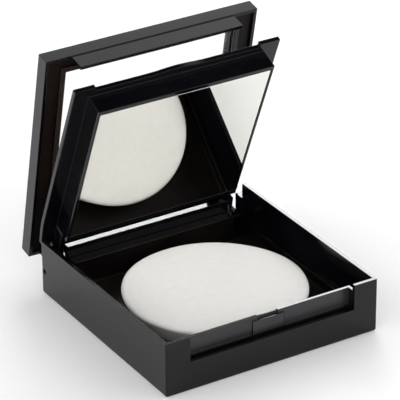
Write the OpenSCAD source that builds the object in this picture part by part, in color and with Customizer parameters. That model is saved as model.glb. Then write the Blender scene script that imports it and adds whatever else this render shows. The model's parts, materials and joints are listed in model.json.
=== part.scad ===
// Square two-deck powder compact: a base with a puff well, a hinged powder tray with a
// mirror on its underside, and a hinged lid with a clear window. Both leaves share one
// hinge line. Millimetres, Z up, origin at the centre of the base's underside, front at -Y.

/* [Case] */
// Side of the square case
case_w = 65; // [62:0.5:70]
// Height of the base up to its rim
base_h = 15.75; // [15.65:0.1:17.05]
// Thickness of the outer walls
wall = 1; // [0.9:0.05:1.1]
// Thickness of the base's bottom
floor_t = 1.4; // [1:0.1:1.8]
// Thickness of the lid from its rim to its top
lid_t = 4.1; // [3.9:0.1:5]

/* [Front recess and catch] */
// Width of the recess that takes the lid's lip
recess_w = 50.4; // [46:0.2:51]
// Depth of the recess behind the front face
recess_d = 2.9; // [2.8:0.05:3.1]
// Height of the recess floor above the table
recess_z = 8.5; // [7.5:0.1:9]
// Length of the lip below the lid's rim
lip_l = 5; // [4:0.1:6]
// Thickness of the lip
lip_t = 1; // [0.8:0.05:1.1]

/* [Opening angles] */
// How far the tray stands open
tray_open = 67.25; // [0:0.25:75]
// Lid angle for each degree of tray angle
lid_ratio = 1.16; // [1.1:0.01:1.2]

/* [Hinge] */
// Distance of the hinge line in front of the back face
hinge_in = 1.4; // [1.35:0.05:1.5]
// Height of the hinge line above the table
hinge_z = 7.1; // [7:0.05:7.3]
// Radius of the hinge pins
pin_r = 0.6; // [0.5:0.05:0.65]
// Length of each hinge pin
pin_l = 9; // [8.6:0.1:9.6]

/* [Powder tray] */
// Width of the box under the tray's flange
box_w = 53.8; // [53.6:0.1:54]
// Depth of the box from front to back
box_d = 50.6; // [50.4:0.1:51]
// Height of the box's bottom face above the table when the compact is shut
box_z = 8.2; // [8.2:0.1:8.6]
// Thickness of the tray's flange
flange_t = 1.3; // [1.2:0.1:1.6]
// Width of the mirror
mirror_w = 52.2; // [49:0.2:52.2]
// Height of the mirror
mirror_d = 47.3; // [45:0.1:47.5]
// Thickness of the mirror glass
mirror_t = 1.1; // [0.9:0.1:1.2]
// Depth of the powder pan
pan_h = 4.2; // [3.4:0.1:4.3]

/* [Lid window] */
// Side of the square opening in the lid's top
window_w = 50.2; // [48:0.2:50.6]
// Thickness of the clear pane
pane_t = 2; // [1.6:0.1:2]

/* [Puff] */
// Diameter of the powder puff
puff_d = 49.4; // [46:0.2:49.4]
// Top of the puff above the table, pressed flat
puff_top = 7.9; // [6:0.1:8]

/* [Hidden] */
$fn = 72;

black = [0.09, 0.09, 0.1];
half_w = case_w / 2;
inner_w = case_w - 2 * wall;
lid_open = tray_open * lid_ratio;
hinge_y = half_w - hinge_in;
cut = 0.5;                      // how far a cutting solid runs past what it cuts
gap = 0.15;                     // clearance between nested leaves and walls
flange_top = base_h - 0.4;      // upper face of the shut tray's flange
flange_z = flange_top - flange_t;

// Hinge line, from the side wall inwards: shell lug, lid arm, tray arm, back wall with its boss.
side_gap = 0.2;
lug_w = 2.2;
lid_arm_w = 1.7;
tray_arm_w = 1.5;
lug_x = half_w - wall - lug_w;
lid_arm_x = lug_x - side_gap - lid_arm_w;
tray_arm_x = lid_arm_x - side_gap - tray_arm_w;
slot_x = tray_arm_x - side_gap;
boss_x = slot_x - 4.5;
boss_top = hinge_z + pin_r + 0.7;
pin_out = half_w - 0.6;         // outer end of a pin, sunk below the side face
lug_bore_r = pin_r + 0.02;
arm_bore_r = pin_r + 0.05;
mouth_r = pin_r + 0.15;
barrel_r = hinge_in - 0.05;

// Base
front_wall = 1.1;
lug_top = base_h - 2.4;
lug_y = half_w - 3.4;
boss_y = half_w - 3.1;
back_wall_y = half_w - 2.1;
back_wall_z = base_h - 2.8;
arm_slot_z = hinge_z - barrel_r - 0.35;

// Well liner
catch_top = flange_z - gap;     // top of the catch wall and of the recess's cheeks
liner_clear = 0.2;
liner_floor_t = 1;
liner_wall = 0.9;
liner_side = 0.8;
liner_side_h = 3.6;
partition_y = half_w - 5.6;
partition_t = 0.9;
shelf_z = base_h - 6.15;
shelf_t = 0.9;
notch_w = 6.2;
notch_d = 1;
pad_w = 10;
notch_web = 0.4;                // what is left of the catch wall behind the notch
web_drop = 0.3;
pad_out = 0.5;
foot_groove = 0.4;
foot_out = 0.4;

// Tray, described as it lies when the compact is shut
flange_w = inner_w - 2 * gap;
flange_front = -half_w + front_wall + gap;
flange_back = half_w - 5.9;
lip_cut_w = recess_w - 0.2;
lip_cut_y = -half_w + 2.4;
bend_y = flange_back - 8.6;      // where the flange starts to bend down to the hinge
bend_r = 29;
bend_steps = 6;
mid_lap = 1.2;                  // how far the flange runs behind the box, between the arms
bulge_w = 18;                   // finger bulge in the middle of the flange's front edge
bulge_out = 0.5;
bulge_steps = 16;
box_y = -half_w + 29.5;
mirror_y = box_y - 0.15;
box_wall = 1.1;
tape_t = 0.2;
box_floor_t = 0.8;
mirror_z = box_z + 0.1;
seat_top = mirror_z + mirror_t + tape_t;
box_floor_z = seat_top + box_floor_t;
pan_gap = 0.2;
pan_w = box_w - 2 * (box_wall + pan_gap);
pan_d = box_d - 2 * (box_wall + pan_gap);
pan_t = 0.4;
pan_r = 1.6;
pan_z = box_floor_z + tape_t;
powder_drop = 0.35;             // how far the powder lies below the pan's edge
tape_margin = 3;

// Lid, described as it lies when the compact is shut
lid_gap = 0.15;                 // seam between the shut lid and the base
lid_z = base_h + lid_gap;
lid_top = lid_z + lid_t;
rim_depth = 0.9;                // how far the lid's inner face lies above its rim
pane_w = 53.4;
ring_out_w = 55.2;
ring_in_w = 52;
ring_z = lid_z + 0.1;
ring_fit = 0.1;
window_y = -1.4;
lip_w = recess_w - 0.6;
lip_y = -half_w + 0.3;
bead_w = 9;
bead_r = 0.35;
bead_out = 0.1;
skirt_t = 1;                    // skirt that closes the back when the lid is shut
skirt_z = lug_top + 0.3;
web_in = 4.1;                   // stiffening web in front of each lid arm
web_rise = 3;

// Puff
puff_y = -half_w + 28.75;
puff_edge_r = 2;

// Plain box with its low corner at p and its size s.
module block(p, s) {
    translate(p) cube(s);
}

// Box centred on x and on y0, standing on z0.
module pad_block(w, d, z0, h, y0 = 0) {
    block([-w / 2, y0 - d / 2, z0], [w, d, h]);
}

// Rectangular plate with true round corners.
module round_plate(w, d, r, z0, h, y0 = 0) {
    translate([0, y0, z0]) linear_extrude(height = h) union() {
        square([w, d - 2 * r], center = true);
        square([w - 2 * r, d], center = true);
        for (i = [-1, 1], j = [-1, 1]) translate([i * (w / 2 - r), j * (d / 2 - r)]) circle(r = r);
    }
}

// Cylinder along X from x0 to x0 + w, on the hinge line.
module hinge_rod(x0, w, r) {
    translate([x0, hinge_y, hinge_z]) rotate([0, 90, 0]) cylinder(r = r, h = w);
}

// Side profile in Y and Z, extruded along X from x0 to x0 + w.
module side_profile(x0, w) {
    translate([x0, 0, 0]) rotate([90, 0, 90]) linear_extrude(height = w) children();
}

// Draws its children on both sides of the middle.
module both_sides() {
    children();
    mirror([1, 0, 0]) children();
}

// Turns a leaf about the hinge line from shut to open.
module swing(angle) {
    translate([0, hinge_y, hinge_z]) rotate([-angle, 0, 0])
        translate([0, -hinge_y, -hinge_z]) children();
}

// Outer case of the base, with the lip's recess, hinge lugs and hinge pin holes.
module base_shell() {
    cavity_front = -half_w + front_wall;
    bore_x = pin_out - pin_l - side_gap;
    color(black) difference() {
        union() {
            difference() {
                pad_block(case_w, case_w, 0, base_h);
                block([-inner_w / 2, cavity_front, floor_t],
                      [inner_w, half_w - wall - cavity_front, base_h]);
                // The back is open above the slots that the lid and tray arms swing in
                block([-inner_w / 2, half_w - wall - cut, arm_slot_z],
                      [inner_w, wall + 2 * cut, base_h]);
            }
            block([-slot_x, back_wall_y, 0], [2 * slot_x, half_w - back_wall_y, back_wall_z]);
            both_sides() {
                block([lug_x, lug_y, 0], [lug_w + cut / 2, half_w - lug_y, lug_top]);
                block([boss_x, boss_y, 0], [slot_x - boss_x, half_w - boss_y, boss_top]);
            }
        }
        // Recess for the lid's lip
        block([-recess_w / 2, -half_w - cut, recess_z], [recess_w, front_wall + 2 * cut, base_h]);
        both_sides() {
            hinge_rod(bore_x, half_w - wall - bore_x, lug_bore_r);
            hinge_rod(half_w - wall - cut, wall + 2 * cut, mouth_r);
        }
    }
}

// Insert with the puff's floor, the catch wall behind the recess and the back partition.
module well_liner() {
    liner_w = inner_w - 2 * liner_clear;
    front = -half_w + recess_d;
    z0 = floor_t;
    back = partition_y + partition_t;
    shelf_w = 2 * slot_x - 2 * liner_clear;
    color(black) difference() {
        union() {
            block([-liner_w / 2, front, z0], [liner_w, back - front, liner_floor_t]);
            block([-recess_w / 2 - liner_wall, front, z0],
                  [recess_w + 2 * liner_wall, liner_wall, catch_top - z0]);
            // Back partition, with a shelf over the hinge bay
            block([-shelf_w / 2, partition_y, z0], [shelf_w, partition_t, shelf_z - z0]);
            block([-shelf_w / 2, partition_y, shelf_z - shelf_t],
                  [shelf_w, back_wall_y - liner_clear - partition_y, shelf_t]);
            // Raised catch for the lip's bead, and a foot along the wall
            block([-pad_w / 2, front - pad_out, recess_z + foot_groove],
                  [pad_w, pad_out + cut, catch_top - notch_d - recess_z - foot_groove]);
            block([-recess_w / 2, front - foot_out, z0],
                  [recess_w, foot_out + cut, recess_z + foot_groove - z0]);
            both_sides() {
                block([recess_w / 2, -half_w + front_wall, z0],
                      [liner_wall, recess_d - front_wall + cut, catch_top - z0]);
                block([liner_w / 2 - liner_side, front, z0],
                      [liner_side, back - front, liner_side_h]);
            }
        }
        // Notch in the front of the catch wall's middle, with a thin web behind it
        block([-notch_w / 2, front, catch_top - web_drop], [notch_w, liner_wall + cut, notch_d]);
        block([-notch_w / 2, front - pad_out - cut, catch_top - notch_d],
              [notch_w, liner_wall + pad_out + cut - notch_web, notch_d + cut]);
    }
}

// Round puff, as it lies when the tray is shut on it.
module puff() {
    r = puff_d / 2;
    z0 = floor_t + liner_floor_t + 0.05;
    h = puff_top - z0;
    e = puff_edge_r;
    color("white") translate([0, puff_y, z0]) rotate_extrude() union() {
        square([r - e, h]);
        translate([0, e]) square([r, h - 2 * e]);
        translate([r - e, e]) circle(r = e);
        translate([r - e, h - e]) circle(r = e);
    }
}

// Two steel pins, one at each end of the hinge line.
module hinge_pins() {
    color("silver") both_sides() hinge_rod(pin_out - pin_l, pin_l, pin_r);
}

// Height of the flange's upper face at y, where it bends down to the hinge.
function flange_face(y) = flange_top - pow(max(y - bend_y, 0), 2) / (2 * bend_r);

// Finger bulge on the flange's front edge, as a plan outline.
module bulge_outline() {
    wave = [for (i = [-bulge_steps:bulge_steps]) i / bulge_steps];
    polygon(concat([for (t = wave) [t * bulge_w / 2, lip_cut_y - bulge_out * (1 + cos(180 * t)) / 2]],
                   [[bulge_w / 2, lip_cut_y + cut], [-bulge_w / 2, lip_cut_y + cut]]));
}

// Flange, box and hinge arms of the tray, in one moulding.
module tray_shape() {
    bend = [for (i = [0:bend_steps]) bend_y + i * (flange_back - bend_y) / bend_steps];
    upper = [for (y = bend) [y, flange_face(y)]];
    lower = [for (i = [bend_steps:-1:0]) [bend[i], flange_face(bend[i]) - flange_t]];
    box_back = box_y + box_d / 2;
    root = box_back - cut;
    difference() {
        union() {
            difference() {
                side_profile(-flange_w / 2, flange_w)
                    polygon(concat([[flange_front, flange_top]], upper, lower, [[flange_front, flange_z]]));
                // Front edge gives way to the lid's lip
                block([-lip_cut_w / 2, flange_front - cut, flange_z - cut],
                      [lip_cut_w, lip_cut_y - flange_front + cut, flange_t + 2 * cut]);
                // Back edge gives way to the base's back wall
                block([-tray_arm_x, box_back + mid_lap, box_z], [2 * tray_arm_x, box_d, base_h]);
            }
            translate([0, 0, flange_z]) linear_extrude(height = flange_t) bulge_outline();
            pad_block(box_w, box_d, box_z, flange_z - box_z + cut, box_y);
            both_sides() side_profile(tray_arm_x, tray_arm_w) union() {
                polygon([[root, flange_face(root)], [flange_back, flange_face(flange_back)],
                         [hinge_y - 0.3, hinge_z + 4.1], [hinge_y + 1.2, hinge_z + 1.1],
                         [hinge_y, hinge_z], [hinge_y - 1.2, hinge_z], [hinge_y - 2.3, hinge_z + 2.8],
                         [root, hinge_z + 3.5]]);
                translate([hinge_y, hinge_z]) circle(r = barrel_r);
            }
        }
        // Bed of the powder pan, and the mirror's seat below it
        pad_block(box_w - 2 * box_wall, box_d - 2 * box_wall, box_floor_z, base_h, box_y);
        pad_block(mirror_w + gap, mirror_d + gap, box_z - cut, seat_top - box_z + cut, mirror_y);
        both_sides() hinge_rod(tray_arm_x - cut, tray_arm_w + 2 * cut, arm_bore_r);
    }
}

module tray_frame() {
    color(black) swing(tray_open) tray_shape();
}

module mirror_tape() {
    color("white") swing(tray_open)
        pad_block(mirror_w - tape_margin, mirror_d - tape_margin, mirror_z + mirror_t, tape_t, mirror_y);
}

module mirror_glass() {
    color("lightblue") swing(tray_open) pad_block(mirror_w, mirror_d, mirror_z, mirror_t, mirror_y);
}

module pan_tape() {
    color("white") swing(tray_open)
        pad_block(pan_w - tape_margin, pan_d - tape_margin, box_floor_z, tape_t, box_y);
}

// Shallow metal pan with round corners.
module powder_pan() {
    color("silver") swing(tray_open) difference() {
        round_plate(pan_w, pan_d, pan_r, pan_z, pan_h, box_y);
        round_plate(pan_w - 2 * pan_t, pan_d - 2 * pan_t, pan_r - pan_t, pan_z + pan_t, pan_h, box_y);
    }
}

module powder_cake() {
    color([0.86, 0.7, 0.57]) swing(tray_open)
        round_plate(pan_w - 2 * pan_t, pan_d - 2 * pan_t, pan_r - pan_t, pan_z + pan_t,
                    pan_h - pan_t - powder_drop, box_y);
}

// Lid frame with its window opening, pane pocket, latch lip and hinge arms.
module lid_shape() {
    face_z = lid_z + rim_depth;
    lip_bottom = lid_z - lip_l;
    difference() {
        union() {
            difference() {
                pad_block(case_w, case_w, lid_z, lid_t);
                pad_block(inner_w, inner_w, lid_z - cut, rim_depth + cut);
            }
            block([-lip_w / 2, lip_y, lip_bottom], [lip_w, lip_t, face_z - lip_bottom + cut]);
            translate([-bead_w / 2, lip_y + lip_t + bead_out - bead_r, lip_bottom + bead_r])
                rotate([0, 90, 0]) cylinder(r = bead_r, h = bead_w);
            block([-lid_arm_x - cut, half_w - skirt_t, skirt_z],
                  [2 * (lid_arm_x + cut), skirt_t, lid_z + cut - skirt_z]);
            both_sides() side_profile(lid_arm_x, lid_arm_w) union() {
                translate([hinge_y - barrel_r, hinge_z]) square([2 * barrel_r, face_z - hinge_z + cut]);
                translate([hinge_y - web_in, hinge_z + web_rise])
                    square([web_in, face_z - hinge_z - web_rise + cut]);
                translate([hinge_y, hinge_z]) circle(r = barrel_r);
            }
        }
        pad_block(window_w, window_w, lid_z, lid_t + cut, window_y);
        pad_block(pane_w + ring_fit, pane_w + ring_fit, lid_z, rim_depth + pane_t, window_y);
        both_sides() hinge_rod(lid_arm_x - cut, lid_arm_w + 2 * cut, arm_bore_r);
    }
}

module lid_frame() {
    color(black) swing(lid_open) lid_shape();
}

module window_pane() {
    color([0.9, 0.95, 1, 0.4]) swing(lid_open)
        pad_block(pane_w, pane_w, lid_z + rim_depth, pane_t, window_y);
}

// Frame that holds the pane in its pocket.
module window_ring() {
    color(black) swing(lid_open) difference() {
        pad_block(ring_out_w, ring_out_w, ring_z, lid_z + rim_depth - ring_z, window_y);
        pad_block(ring_in_w, ring_in_w, ring_z - cut, rim_depth + 2 * cut, window_y);
    }
}

base_shell();
well_liner();
puff();
hinge_pins();
tray_frame();
mirror_tape();
mirror_glass();
pan_tape();
powder_pan();
powder_cake();
lid_frame();
window_pane();
window_ring();
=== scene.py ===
import json
import math

import bmesh
import bpy
from mathutils import Matrix, Vector


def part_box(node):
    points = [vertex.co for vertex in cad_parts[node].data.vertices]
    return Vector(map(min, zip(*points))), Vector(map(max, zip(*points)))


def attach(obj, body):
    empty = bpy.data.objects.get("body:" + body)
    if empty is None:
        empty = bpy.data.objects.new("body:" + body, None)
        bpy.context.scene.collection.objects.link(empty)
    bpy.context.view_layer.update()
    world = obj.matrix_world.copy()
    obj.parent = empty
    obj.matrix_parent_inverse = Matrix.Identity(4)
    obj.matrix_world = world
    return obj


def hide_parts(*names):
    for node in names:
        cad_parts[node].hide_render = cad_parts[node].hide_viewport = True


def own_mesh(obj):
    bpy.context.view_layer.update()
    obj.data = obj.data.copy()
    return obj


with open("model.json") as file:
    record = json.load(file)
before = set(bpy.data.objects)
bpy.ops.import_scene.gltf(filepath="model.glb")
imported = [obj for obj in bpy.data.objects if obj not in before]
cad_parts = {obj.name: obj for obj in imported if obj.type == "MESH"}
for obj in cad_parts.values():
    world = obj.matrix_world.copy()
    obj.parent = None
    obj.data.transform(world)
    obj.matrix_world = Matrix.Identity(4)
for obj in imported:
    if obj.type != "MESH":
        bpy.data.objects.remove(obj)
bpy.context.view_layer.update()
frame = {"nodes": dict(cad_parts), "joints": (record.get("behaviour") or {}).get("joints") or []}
NODES = frame["nodes"]
JOINTS = {joint["name"]: joint for joint in frame["joints"]}

MM = 0.001

# The tray and the lid turn on one hinge line, and each joint's lower limit shuts its leaf.
HINGE = Vector(JOINTS["tray_hinge"]["pos_m"])
TRAY_OPEN = math.radians(-JOINTS["tray_hinge"]["range_deg"][0])
LID_OPEN = math.radians(-JOINTS["lid_hinge"]["range_deg"][0])

# Places on the shut case, in millimetres
SAME_PLACE = 0.05               # how near counts as the same place
CASE_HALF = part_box("base_shell")[1].x / MM
WELL_FLOOR_Z = 2.4
CATCH_WALL_Y = -28.9            # the faces of the catch lie in front of this
CATCH_WALL_Z = 8.8              # and above this
CATCH_PAD_Y = -29.5             # the edges of the raised pad lie in front of this
CATCH_PAD_HALF_W = 5
TRAY_BOX_BACK_Y = 22.3
TRAY_BOX_BOTTOM_Z = 8.2
LID_INNER_Z = 16.8

# Edges of the moulded parts, with radii in millimetres
SHARP_TURN = math.radians(30)   # an edge that turns less than this is part of a round surface
SHORTEST_EDGE = 0.35            # a shorter edge isn't rounded
EDGE_R = 0.1
LINER_EDGE_R = 0.08
RING_EDGE_R = 0.16
GROUND_EDGE_R = 0.15
PANE_EDGE_R = 0.08
BASE_BOTTOM_R = 0.8
BASE_CORNER_R = 0.4
CATCH_PAD_R = 0.22
TRAY_BOX_R = 0.35

# Puff, in millimetres
PUFF_X = 0.5
PUFF_Y = -3.1
PUFF_BOTTOM_Z = 2.45
PUFF_SIDE_Z = 5                 # only what lies above this is wavy
PUFF_TOP_Z = 9.05
PUFF_CROWN = 0.4
PUFF_R = 25.1
PUFF_WAVES = ((3, 0.6, 0.12), (5, 2.1, 0.07), (2, 4, 0.1))  # waves round the edge, phase, height


# ---------------------------------------------------------------- node helpers

def new_group(name, inputs, outputs):
    """Shader node group with float inputs [(name, default)] and outputs [(name, kind)]."""
    g = bpy.data.node_groups.new(name, "ShaderNodeTree")
    for title, default in inputs:
        s = g.interface.new_socket(title, in_out="INPUT", socket_type="NodeSocketFloat")
        s.default_value = default
    for title, kind in outputs:
        g.interface.new_socket(title, in_out="OUTPUT", socket_type=kind)
    return g, g.nodes.new("NodeGroupInput"), g.nodes.new("NodeGroupOutput")


def add(tree, kind, **settings):
    n = tree.nodes.new(kind)
    for key, value in settings.items():
        setattr(n, key, value)
    return n


def object_coords(tree):
    return add(tree, "ShaderNodeTexCoord").outputs["Object"]


def mapped(tree, coords, scale, rotation=(0, 0, 0)):
    n = add(tree, "ShaderNodeMapping")
    n.inputs["Scale"].default_value = scale
    n.inputs["Rotation"].default_value = rotation
    tree.links.new(coords, n.inputs["Vector"])
    return n.outputs["Vector"]


def noise(tree, coords, scale, detail, rough):
    n = add(tree, "ShaderNodeTexNoise")
    n.inputs["Scale"].default_value = scale
    n.inputs["Detail"].default_value = detail
    n.inputs["Roughness"].default_value = rough
    tree.links.new(coords, n.inputs["Vector"])
    return n.outputs["Fac"]


def remap(tree, value, lo, hi, to_lo, to_hi):
    """value taken from lo..hi to to_lo..to_hi and held there. The last two are numbers or outputs."""
    n = add(tree, "ShaderNodeMapRange", clamp=True)
    n.inputs["From Min"].default_value = lo
    n.inputs["From Max"].default_value = hi
    for key, end in (("To Min", to_lo), ("To Max", to_hi)):
        if isinstance(end, (int, float)):
            n.inputs[key].default_value = end
        else:
            tree.links.new(end, n.inputs[key])
    tree.links.new(value, n.inputs["Value"])
    return n.outputs["Result"]


def color_sockets(sockets):
    return [s for s in sockets if s.type == "RGBA"]


def mix_color(tree, factor, a, b):
    """Mix from a to b by factor. Each is three numbers or a colour output."""
    n = add(tree, "ShaderNodeMix", data_type="RGBA")
    tree.links.new(factor, n.inputs["Factor"])
    for socket, color in zip(color_sockets(n.inputs), (a, b)):
        if isinstance(color, tuple):
            socket.default_value = (*color, 1)
        else:
            tree.links.new(color, socket)
    return color_sockets(n.outputs)[0]


def bump(tree, height, distance, strength, normal=None):
    """Normal from a height. distance is in millimetres, and normal is a bump to add it to."""
    n = add(tree, "ShaderNodeBump")
    n.inputs["Strength"].default_value = strength
    n.inputs["Distance"].default_value = distance * MM
    tree.links.new(height, n.inputs["Height"])
    if normal is not None:
        tree.links.new(normal, n.inputs["Normal"])
    return n.outputs["Normal"]


def moulded_skin():
    """Handling marks, faint scratches and the orange peel of polished moulded plastic."""
    g, gin, gout = new_group(
        "moulded_skin",
        [("Rough Low", 0.08), ("Rough High", 0.2)],
        [("Roughness", "NodeSocketFloat"), ("Marks", "NodeSocketFloat"), ("Normal", "NodeSocketVector")],
    )
    scratch_depth = 0.05
    co = object_coords(g)
    smudge = remap(g, noise(g, co, 70, 4, 0.6), 0.38, 0.72, 0, 1)
    orange_peel = noise(g, co, 900, 2, 0.5)
    streaks = mapped(g, co, (1, 14, 14), (0.3, 0.2, 0.7))
    scratch = remap(g, noise(g, streaks, 260, 2, 0.5), 0.66, 0.74, 0, 1)
    low = remap(g, smudge, 0, 1, gin.outputs["Rough Low"], gin.outputs["Rough High"])
    total = add(g, "ShaderNodeMath", operation="MULTIPLY_ADD")
    g.links.new(scratch, total.inputs[0])
    total.inputs[1].default_value = scratch_depth
    g.links.new(low, total.inputs[2])
    g.links.new(total.outputs[0], gout.inputs["Roughness"])
    g.links.new(smudge, gout.inputs["Marks"])
    g.links.new(bump(g, orange_peel, 0.002, 0.6), gout.inputs["Normal"])
    return g


def dust_specks():
    """Sparse pale specks of powder dust, gathered in patches."""
    g, gin, gout = new_group("dust_specks", [("Amount", 0.5)], [("Mask", "NodeSocketFloat")])
    co = object_coords(g)
    cells = add(g, "ShaderNodeTexVoronoi", feature="F1")
    cells.inputs["Scale"].default_value = 420
    g.links.new(co, cells.inputs["Vector"])
    speck = remap(g, cells.outputs["Distance"], 0.05, 0.12, 1, 0)
    patch = remap(g, noise(g, co, 60, 3, 0.6), 0.52, 0.7, 0, gin.outputs["Amount"])
    m = add(g, "ShaderNodeMath", operation="MULTIPLY")
    g.links.new(speck, m.inputs[0])
    g.links.new(patch, m.inputs[1])
    g.links.new(m.outputs[0], gout.inputs["Mask"])
    return g


def use_group(tree, group, **values):
    n = add(tree, "ShaderNodeGroup", node_tree=group)
    for key, value in values.items():
        n.inputs[key.replace("_", " ")].default_value = value
    return n


# ---------------------------------------------------------------- materials

SKIN = moulded_skin()
DUST = dust_specks()
DUST_AMOUNT = 0.05
DUST_COLOR = (0.5, 0.47, 0.44)


def new_material(name):
    m = bpy.data.materials.new(name)
    m.use_nodes = True
    t = m.node_tree
    return m, t, t.nodes["Principled BSDF"]


def black_plastic(name, dark, light, rough_low, rough_high, ior):
    m, t, p = new_material(name)
    skin = use_group(t, SKIN, Rough_Low=rough_low, Rough_High=rough_high)
    specks = use_group(t, DUST, Amount=DUST_AMOUNT)
    tone = mix_color(t, skin.outputs["Marks"], dark, light)
    t.links.new(mix_color(t, specks.outputs["Mask"], tone, DUST_COLOR), p.inputs["Base Color"])
    t.links.new(skin.outputs["Roughness"], p.inputs["Roughness"])
    t.links.new(skin.outputs["Normal"], p.inputs["Normal"])
    p.inputs["IOR"].default_value = ior
    return m


def mirror_material():
    m, t, p = new_material("silvered_mirror")
    haze = remap(t, noise(t, object_coords(t), 90, 4, 0.6), 0.4, 0.75, 0, 1)
    t.links.new(mix_color(t, haze, (0.95, 0.945, 0.9), (0.92, 0.915, 0.875)), p.inputs["Base Color"])
    t.links.new(remap(t, haze, 0, 1, 0.012, 0.04), p.inputs["Roughness"])
    p.inputs["Metallic"].default_value = 1
    return m


def velour_material():
    m, t, p = new_material("puff_velour")
    co = object_coords(t)
    nap = noise(t, co, 3200, 3, 0.7)
    tuft = noise(t, co, 900, 3, 0.6)
    shade = remap(t, noise(t, co, 420, 4, 0.6), 0.3, 0.7, 0, 1)
    t.links.new(mix_color(t, shade, (0.79, 0.78, 0.755), (0.825, 0.815, 0.795)), p.inputs["Base Color"])
    t.links.new(remap(t, tuft, 0.2, 0.8, 0.85, 1), p.inputs["Roughness"])
    tufted = bump(t, tuft, 0.08, 0.5)
    t.links.new(bump(t, nap, 0.06, 0.8, tufted), p.inputs["Normal"])
    p.inputs["Sheen Weight"].default_value = 0.35
    p.inputs["Sheen Roughness"].default_value = 0.5
    p.inputs["Sheen Tint"].default_value = (1, 0.99, 0.96, 1)
    p.inputs["Subsurface Weight"].default_value = 0.15
    p.inputs["Subsurface Radius"].default_value = (0.002, 0.0018, 0.0015)
    return m


def clear_material():
    m, t, p = new_material("clear_pane")
    wipe = remap(t, noise(t, object_coords(t), 80, 4, 0.6), 0.45, 0.8, 0, 1)
    t.links.new(mix_color(t, wipe, (0.99, 0.995, 0.99), (0.97, 0.975, 0.975)), p.inputs["Base Color"])
    t.links.new(remap(t, wipe, 0, 1, 0.005, 0.03), p.inputs["Roughness"])
    p.inputs["Transmission Weight"].default_value = 1
    p.inputs["IOR"].default_value = 1.49
    return m


def powder_material():
    m, t, p = new_material("pressed_powder")
    co = object_coords(t)
    grain = noise(t, co, 3500, 3, 0.7)
    cloud = noise(t, co, 160, 4, 0.6)
    tone = remap(t, cloud, 0.3, 0.7, 0, 1)
    t.links.new(mix_color(t, tone, (0.66, 0.43, 0.29), (0.74, 0.51, 0.36)), p.inputs["Base Color"])
    t.links.new(remap(t, grain, 0.2, 0.8, 0.75, 0.95), p.inputs["Roughness"])
    pressed = bump(t, cloud, 0.15, 0.4)
    t.links.new(bump(t, grain, 0.03, 0.7, pressed), p.inputs["Normal"])
    return m


def metal_material(name, base, shade, rough, stretch):
    """Metal with a grain stretched along the axes. shade darkens the grain's low parts."""
    m, t, p = new_material(name)
    grain = noise(t, mapped(t, object_coords(t), stretch), 300, 3, 0.6)
    dark = tuple(c * shade for c in base)
    t.links.new(mix_color(t, grain, dark, base), p.inputs["Base Color"])
    t.links.new(remap(t, grain, 0.2, 0.8, rough, rough + 0.15), p.inputs["Roughness"])
    t.links.new(bump(t, grain, 0.004, 0.5), p.inputs["Normal"])
    p.inputs["Metallic"].default_value = 1
    return m


def tape_material():
    m, t, p = new_material("foam_tape")
    cell = noise(t, object_coords(t), 1500, 2, 0.5)
    t.links.new(mix_color(t, cell, (0.72, 0.72, 0.7), (0.82, 0.82, 0.8)), p.inputs["Base Color"])
    t.links.new(remap(t, cell, 0.2, 0.8, 0.7, 0.9), p.inputs["Roughness"])
    t.links.new(bump(t, cell, 0.03, 0.6), p.inputs["Normal"])
    return m


GLOSS = black_plastic("polished_black", (0.0016, 0.0015, 0.0026), (0.0034, 0.0032, 0.0047), 0.05, 0.12, 1.37)
INSERT = black_plastic("insert_black", (0.0035, 0.0026, 0.0024), (0.0065, 0.005, 0.0046), 0.06, 0.12, 1.4)
# Matt black finish whose weakened reflection (low IOR) is painted shade: a darker copy of the black plastic
# for the well floor and the lid's inside.
MATT_PAINTED_SHADE = black_plastic("matt_black_painted_shade", (0.0045, 0.0028, 0.0022), (0.0075, 0.005, 0.004), 0.4, 0.5, 1.22)
# Satin black whose lighter base colour is painted reflected light: a lit copy of the black plastic for the
# catch wall's front faces.
SATIN_PAINTED_LIGHT = black_plastic("satin_black_painted_light", (0.012, 0.0115, 0.0135), (0.018, 0.017, 0.02), 0.3, 0.4, 1.5)
MIRROR = mirror_material()
VELOUR = velour_material()
CLEAR = clear_material()
POWDER = powder_material()
PAN = metal_material("pan_sheet", (0.78, 0.78, 0.79), 0.85, 0.28, (1, 1, 1))
STEEL = metal_material("pin_wire", (0.62, 0.61, 0.6), 0.7, 0.25, (0.05, 1, 1))
TAPE = tape_material()


# ---------------------------------------------------------------- mesh helpers

def swing(angle):
    """Turn about the hinge line, from shut to open by angle."""
    return Matrix.Translation(HINGE) @ Matrix.Rotation(-angle, 4, "X") @ Matrix.Translation(-HINGE)


def near(a, b):
    return abs(a - b) < SAME_PLACE


def add_object(bm, name, material):
    mesh = bpy.data.meshes.new(name)
    bm.to_mesh(mesh)
    bm.free()
    mesh.materials.append(material)
    o = bpy.data.objects.new(name, mesh)
    bpy.context.scene.collection.objects.link(o)
    return o


def finish_piece(bm, name, material, place, body, node):
    bmesh.ops.transform(bm, matrix=place, verts=bm.verts)
    o = add_object(bm, name, material)
    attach(o, body)
    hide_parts(node)
    return o


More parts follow.
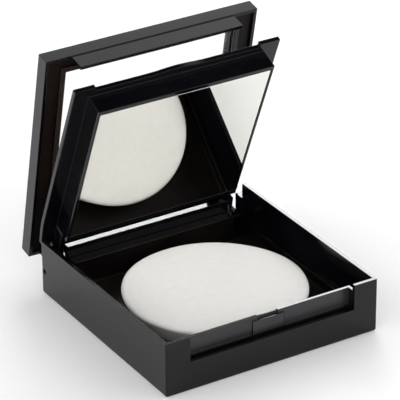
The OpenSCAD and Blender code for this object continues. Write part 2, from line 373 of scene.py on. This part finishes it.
def moulded_copy(node, name, material, body, angle=0.0, widths=None, edge=EDGE_R, segments=3,
                 others=()):
    """Copy of a CAD node with its sharp edges rounded. The tests below see the node shut, by undoing
    angle, and in millimetres. widths(middle, direction) gives an edge's radius, or None for the usual
    one. others holds pairs of a material and a test of a face's centre and normal."""
    bm = bmesh.new()
    bm.from_mesh(NODES[node].data)
    bmesh.ops.remove_doubles(bm, verts=bm.verts, dist=0.002 * MM)
    bmesh.ops.transform(bm, matrix=swing(angle).inverted(), verts=bm.verts)
    bmesh.ops.dissolve_limit(bm, angle_limit=math.radians(0.4), use_dissolve_boundaries=False,
                             verts=bm.verts, edges=bm.edges)
    bmesh.ops.connect_verts_concave(bm, faces=bm.faces)
    radius = bm.edges.layers.float.new("bevel_weight_edge")
    for e in bm.edges:
        e.smooth = True
        if len(e.link_faces) != 2:
            continue
        turn = e.calc_face_angle(0.0)
        e.smooth = turn < SHARP_TURN
        if e.smooth or e.calc_length() < SHORTEST_EDGE * MM:
            continue
        a, b = e.verts[0].co / MM, e.verts[1].co / MM
        own = widths((a + b) / 2, (b - a).normalized()) if widths else None
        e[radius] = edge if own is None else own
        e.smooth = True
    for f in bm.faces:
        f.smooth = True
        f.normal_update()
        for k, (_, takes) in enumerate(others, 1):
            if takes(f.calc_center_median() / MM, f.normal):
                f.material_index = k
    o = finish_piece(bm, name, material, swing(angle), body, node)
    for extra, _ in others:
        o.data.materials.append(extra)
    bevel = o.modifiers.new("rounded_edges", "BEVEL")
    bevel.limit_method = "WEIGHT"
    bevel.width = MM
    bevel.segments = segments
    bevel.use_clamp_overlap = False
    normals = o.modifiers.new("even_normals", "WEIGHTED_NORMAL")
    normals.keep_sharp = True
    normals.weight = 80


# ---------------------------------------------------------------- moulded pieces, mirror and pane

def base_edges(mid, way):
    if near(mid.z, 0):
        return BASE_BOTTOM_R
    at_corner = near(abs(mid.x), CASE_HALF) and near(abs(mid.y), CASE_HALF)
    return BASE_CORNER_R if at_corner and abs(way.z) > 0.9 else None


def liner_edges(mid, way):
    pad_side = near(abs(mid.x), CATCH_PAD_HALF_W) and mid.y < CATCH_PAD_Y
    return CATCH_PAD_R if pad_side and abs(way.z) > 0.9 else None


def tray_edges(mid, way):
    hinge_side = near(mid.y, TRAY_BOX_BACK_Y) and near(mid.z, TRAY_BOX_BOTTOM_Z)
    return TRAY_BOX_R if hinge_side and abs(way.x) > 0.9 else None


def is_catch_wall(at, normal):
    return normal.y < -0.5 and at.y < CATCH_WALL_Y and at.z > CATCH_WALL_Z


def is_well_floor(at, normal):
    return normal.z > 0.9 and near(at.z, WELL_FLOOR_Z)


def is_lid_inside(at, normal):
    return normal.z < -0.9 and near(at.z, LID_INNER_Z)


moulded_copy("base_shell", "base_shell_moulded", GLOSS, "base", 0, base_edges, segments=4)
# The catch wall's front faces get the satin black with painted reflected light, and the well floor the matt
# black with painted shade.
moulded_copy("well_liner", "well_liner_moulded", INSERT, "base", 0, liner_edges, LINER_EDGE_R,
             others=[(SATIN_PAINTED_LIGHT, is_catch_wall), (MATT_PAINTED_SHADE, is_well_floor)])
moulded_copy("tray_frame", "tray_frame_moulded", GLOSS, "tray", TRAY_OPEN, tray_edges)
# The lid's inside gets the matt black whose weakened reflection is painted shade.
moulded_copy("lid_frame", "lid_frame_moulded", GLOSS, "lid", LID_OPEN,
             others=[(MATT_PAINTED_SHADE, is_lid_inside)])
moulded_copy("window_ring", "window_ring_moulded", INSERT, "lid", LID_OPEN, edge=RING_EDGE_R)
moulded_copy("mirror_glass", "mirror_ground", MIRROR, "tray", TRAY_OPEN,
             edge=GROUND_EDGE_R, segments=1)
moulded_copy("window_pane", "window_pane_moulded", CLEAR, "lid", LID_OPEN,
             edge=PANE_EDGE_R, segments=2)


# ---------------------------------------------------------------- puff

def puff_section():
    """Radius and height, from the middle of the underside out, up the undercut side, round the rolled
    edge and in over the crown."""
    low, top, r = PUFF_BOTTOM_Z, PUFF_TOP_Z, PUFF_R
    underside = [(0.0, low), (20.5, low), (22.4, low + 0.5)]
    side = [(23.2, low + 1.8), (23.8, low + 3.6), (24.6, top - 1.7)]
    rolled_edge = [(r - 0.15, top - 0.95), (r, top - 0.55), (r - 0.12, top - 0.25), (r - 0.5, top - 0.05)]
    crown = [(r - 1.3, top + 0.06), (22.0, top + 0.14), (16.0, top + PUFF_CROWN * 0.65),
             (8.0, top + PUFF_CROWN * 0.9), (0.0, top + PUFF_CROWN)]
    return underside + side + rolled_edge + crown


def make_puff():
    """Round velour puff: a crowned disc with a rolled edge, spun from its section and made a little
    uneven."""
    bm = bmesh.new()
    verts = [bm.verts.new((x * MM, 0, z * MM)) for x, z in puff_section()]
    edges = [bm.edges.new(pair) for pair in zip(verts, verts[1:])]
    bmesh.ops.spin(bm, geom=verts + edges, cent=(0, 0, 0), axis=(0, 0, 1), dvec=(0, 0, 0),
                   angle=math.tau, steps=96, use_merge=True, use_normal_flip=False, use_duplicate=False)
    bmesh.ops.remove_doubles(bm, verts=bm.verts, dist=0.01 * MM)
    bmesh.ops.recalc_face_normals(bm, faces=bm.faces)
    for v in bm.verts:
        a = math.atan2(v.co.y, v.co.x)
        out = math.hypot(v.co.x, v.co.y) / (PUFF_R * MM)
        if v.co.z > PUFF_SIDE_Z * MM:
            sway = sum(math.sin(count * a + phase) * rise for count, phase, rise in PUFF_WAVES)
            v.co.z += sway * MM * out * out
        grow = 1 + 0.0022 * math.sin(4 * a + 1.2) * out
        v.co.x *= grow
        v.co.y *= grow
    for f in bm.faces:
        f.smooth = True
    place = Matrix.Translation((PUFF_X * MM, PUFF_Y * MM, 0))
    o = finish_piece(bm, "velour_puff", VELOUR, place, "base", "puff")
    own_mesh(o)


make_puff()


# ---------------------------------------------------------------- CAD nodes that keep their shape

def finish_node(node, material):
    o = NODES[node]
    o.data.materials.clear()
    o.data.materials.append(material)


finish_node("hinge_pins", STEEL)
finish_node("mirror_tape", TAPE)
finish_node("pan_tape", TAPE)
finish_node("powder_pan", PAN)
finish_node("powder_cake", POWDER)


# ---------------------------------------------------------------- floor, light, camera

def floor_material():
    m, t, p = new_material("floor_sweep")
    tone = noise(t, object_coords(t), 3, 2, 0.5)
    t.links.new(mix_color(t, tone, (0.96, 0.96, 0.96), (0.98, 0.98, 0.98)), p.inputs["Base Color"])
    p.inputs["Roughness"].default_value = 0.9
    p.inputs["Specular IOR Level"].default_value = 0.1
    return m


def make_floor():
    bm = bmesh.new()
    bmesh.ops.create_grid(bm, x_segments=1, y_segments=1, size=6)
    add_object(bm, "floor", floor_material())


def make_studio():
    """White surroundings that fade to nearly nothing overhead, which leaves dark what mirrors them there."""
    horizon, overhead = 1.85, 0.03
    world = bpy.data.worlds.new("studio")
    bpy.context.scene.world = world
    world.use_nodes = True
    t = world.node_tree
    background = t.nodes["Background"]
    background.inputs["Color"].default_value = (1, 1, 1, 1)
    way = add(t, "ShaderNodeSeparateXYZ")
    t.links.new(add(t, "ShaderNodeTexCoord").outputs["Generated"], way.inputs[0])
    t.links.new(remap(t, way.outputs["Z"], 0.66, 0.84, horizon, overhead), background.inputs["Strength"])


def make_softbox():
    """Soft light behind the case on the right, mirrored in the rim and in the back wall's top."""
    place, target = Vector((0.556, 0.907, 0.575)), Vector((0, 0, 0.02))
    light = bpy.data.lights.new("back_softbox", "AREA")
    light.shape = "RECTANGLE"
    light.size = 0.38
    light.size_y = 0.25
    light.energy = 2.8
    o = bpy.data.objects.new("back_softbox", light)
    o.location = place
    o.rotation_euler = (target - place).to_track_quat("-Z", "Y").to_euler()
    bpy.context.scene.collection.objects.link(o)


def make_camera():
    eye = Vector((-0.35157, -0.56987, 0.38304))
    aim = Vector((0.02427, 0.04321, 0.00787))
    roll = math.radians(-0.2786)
    lens = bpy.data.cameras.new("camera")
    lens.sensor_width = 36
    lens.lens = 258.4
    lens.clip_start = 0.01
    lens.clip_end = 50
    camera = bpy.data.objects.new("camera", lens)
    look = (aim - eye).to_track_quat("-Z", "Y").to_matrix().to_4x4()
    camera.matrix_world = Matrix.Translation(eye) @ look @ Matrix.Rotation(roll, 4, "Z")
    bpy.context.scene.collection.objects.link(camera)
    bpy.context.scene.camera = camera


make_floor()
make_studio()
make_softbox()
make_camera()
bpy.context.scene.view_settings.view_transform = "Standard"

bpy.context.view_layer.update()
